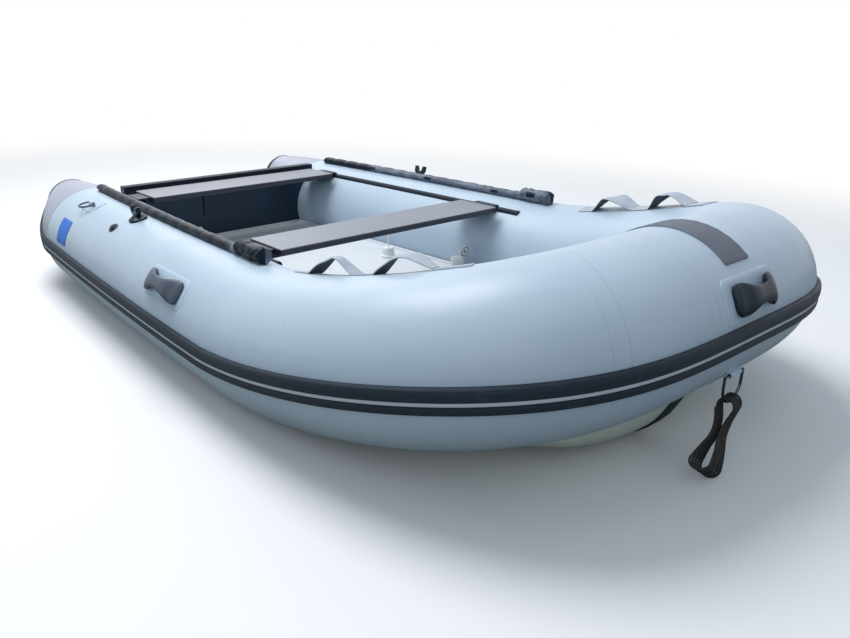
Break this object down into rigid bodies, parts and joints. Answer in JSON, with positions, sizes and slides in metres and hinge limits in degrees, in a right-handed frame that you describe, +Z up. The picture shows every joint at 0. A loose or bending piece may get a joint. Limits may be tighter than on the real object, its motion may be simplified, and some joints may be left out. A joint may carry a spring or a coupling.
{
  "type": "inflatable boat",
  "caption": "Open inflatable boat with a U-shaped air tube, raised bow, air floor, board transom, sliding bench seats, oarlocks, handles and a painter on a bow ring.",
  "frame": {"origin": "on the floor under the middle of the boat's overall box", "axes": "+Z up, +Y towards the bow, +X towards starboard"},
  "size_m": [1.7338, 2.9504, 0.5935],
  "materials": {
    "tube_fabric": "coated, low sheen",
    "cone_fabric": "coated, low sheen",
    "deck_fabric": "coated, fine grain",
    "hull_fabric": "coated, low sheen",
    "strake_rubber": "satin",
    "stripe_rubber": "satin",
    "black_rubber": "satin",
    "patch_rubber": "matt",
    "pale_patch": "satin",
    "blue_patch": "satin",
    "board_paint": "painted, satin",
    "seat_paint": "painted, satin",
    "black_moulded": "satin",
    "white_moulded": "satin",
    "grey_moulded": "satin",
    "steel": "polished wire",
    "rope": "laid cord",
    "webbing": "woven",
    "roll_fabric": "coated"
  },
  "bodies": {
    "hull": {"chamber_starboard": "tube_fabric", "chamber_port": "tube_fabric", "chamber_bow": "tube_fabric", "cone_starboard": "cone_fabric", "cone_port": "cone_fabric", "air_floor": "deck_fabric", "hull_bottom": "hull_fabric", "keel_tube": "hull_fabric", "baffle_starboard": "hull_fabric", "baffle_port": "hull_fabric", "rub_strake": "strake_rubber", "keel_strip": "strake_rubber", "strake_stripe": "stripe_rubber", "transom_cap": "black_rubber", "cone_cap_starboard": "black_rubber", "cone_cap_port": "black_rubber", "seat_rail_starboard": "black_rubber", "seat_rail_port": "black_rubber", "bow_wear_patch": "patch_rubber", "side_patch_starboard": "pale_patch", "side_patch_port": "pale_patch", "bow_handle_patch": "pale_patch", "tow_ring_patch": "pale_patch", "stern_ring_starboard_patch": "pale_patch", "stern_ring_port_patch": "pale_patch", "label_patch_starboard": "blue_patch", "label_patch_port": "blue_patch", "transom_board": "board_paint", "bow_handle": "black_moulded", "oarlock_base_starboard": "black_moulded", "oarlock_base_port": "black_moulded", "air_valve_starboard": "black_moulded", "air_valve_port": "black_moulded", "deck_valve": "white_moulded", "keel_valve": "white_moulded", "side_handle_starboard": "grey_moulded", "side_handle_port": "grey_moulded", "motor_pad_outer": "grey_moulded", "motor_pad_inner": "grey_moulded", "webbing_starboard": "webbing", "webbing_port": "webbing", "roll_starboard": "roll_fabric", "roll_port": "roll_fabric"},
    "seat_front": {"seat_front_board": "seat_paint", "seat_front_hook_starboard": "black_moulded", "seat_front_hook_port": "black_moulded"},
    "seat_rear": {"seat_rear_board": "seat_paint", "seat_rear_hook_starboard": "black_moulded", "seat_rear_hook_port": "black_moulded"},
    "tow_ring": {"tow_ring": "steel", "painter_hank": "rope"},
    "stern_ring_starboard": {"stern_ring_starboard": "steel"},
    "stern_ring_port": {"stern_ring_port": "steel"},
    "oarlock_starboard": {"oarlock_starboard": "black_moulded"},
    "oarlock_port": {"oarlock_port": "black_moulded"},
    "deck_valve_stopper": {"deck_valve_stopper": "white_moulded"},
    "keel_valve_cap": {"keel_valve_cap": "white_moulded"},
    "drain_plug": {"drain_plug": "white_moulded"}
  },
  "joints": [
    {"name": "seat_front_slide", "type": "slide", "parent": "hull", "child": "seat_front", "axis": [0, 1, 0], "range_m": [-0.12, 0.12]},
    {"name": "seat_rear_slide", "type": "slide", "parent": "hull", "child": "seat_rear", "axis": [0, 1, 0], "range_m": [-0.02, 0.2]},
    {"name": "tow_ring_swing", "type": "hinge", "parent": "hull", "child": "tow_ring", "pos_m": [0, 1.42363, 0.2655], "axis": [1, 0, 0], "range_deg": [-22, 90]},
    {"name": "stern_ring_starboard_swing", "type": "hinge", "parent": "hull", "child": "stern_ring_starboard", "pos_m": [0.69364, -0.79371, 0.40373], "axis": [0.0529, 0.9986, 0], "range_deg": [-150, 8]},
    {"name": "stern_ring_port_swing", "type": "hinge", "parent": "hull", "child": "stern_ring_port", "pos_m": [-0.69364, -0.79371, 0.40373], "axis": [0.0529, -0.9986, 0], "range_deg": [-150, 8]},
    {"name": "oarlock_starboard_turn", "type": "hinge", "parent": "hull", "child": "oarlock_starboard", "pos_m": [0.67306, -0.40601, 0.42058], "axis": [0.1949, -0.0089, 0.9808], "range_deg": [-180, 180]},
    {"name": "oarlock_port_turn", "type": "hinge", "parent": "hull", "child": "oarlock_port", "pos_m": [-0.67306, -0.40601, 0.42058], "axis": [-0.1949, -0.0089, 0.9808], "range_deg": [-180, 180]},
    {"name": "deck_valve_stopper_tip", "type": "hinge", "parent": "hull", "child": "deck_valve_stopper", "pos_m": [-0.28985, -0.17422, 0.19185], "axis": [1, 0, 0], "range_deg": [-70, 70]},
    {"name": "keel_valve_cap_lid", "type": "hinge", "parent": "hull", "child": "keel_valve_cap", "pos_m": [-0.40004, 0.14498, 0.1946], "axis": [1, 0, 0], "range_deg": [-10, 105]},
    {"name": "drain_plug_turn", "type": "hinge", "parent": "hull", "child": "drain_plug", "pos_m": [0.148, -0.99892, 0.171], "axis": [0, 1, 0], "range_deg": [-180, 180]}
  ]
}
